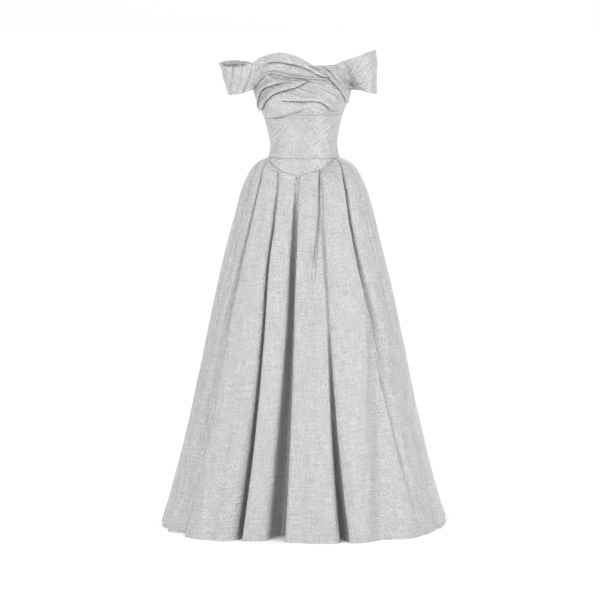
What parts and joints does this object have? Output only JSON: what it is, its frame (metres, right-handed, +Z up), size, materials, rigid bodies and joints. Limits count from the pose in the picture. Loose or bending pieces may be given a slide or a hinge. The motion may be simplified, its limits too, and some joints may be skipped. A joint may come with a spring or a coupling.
{
  "type": "off-shoulder ball gown",
  "caption": "Floor-length off-shoulder gown, filled out as worn: draped bust, neck roll and twist, loop sleeves, pointed waist yoke and full pleated skirt, with a zip at the back.",
  "frame": {"origin": "middle of the waist, level with the waist seam, where the wearer holds the gown up", "axes": "+Z up, the front faces -Y, +X is towards the viewer's right when seen from the front"},
  "size_m": [0.9101, 0.8397, 1.5042],
  "materials": {
    "skirt_cloth": "crinkled metallic jacquard with a soft sheen",
    "bodice_cloth": "crinkled metallic jacquard with a soft sheen, cut on the bias at the neck",
    "zip_tape": "woven tape",
    "zip_metal": "satin"
  },
  "bodies": {
    "gown": {"skirt_front": "skirt_cloth", "skirt_back_left": "skirt_cloth", "skirt_back_right": "skirt_cloth", "yoke": "bodice_cloth", "waist_panel": "bodice_cloth", "bust_drape": "bodice_cloth", "bodice_back_left": "bodice_cloth", "bodice_back_right": "bodice_cloth", "left_sleeve_and_neck": "bodice_cloth", "right_wrap": "bodice_cloth", "right_sleeve": "bodice_cloth", "zip_tape": "zip_tape", "zip_slider": "zip_metal"},
    "pull_tab": {"zip_pull": "zip_metal"}
  },
  "joints": [
    {"name": "pull_flip", "type": "hinge", "parent": "gown", "child": "pull_tab", "pos_m": [-0.00657, 0.10223, 0.217], "axis": [1, 0, 0], "range_deg": [0, 150]}
  ]
}
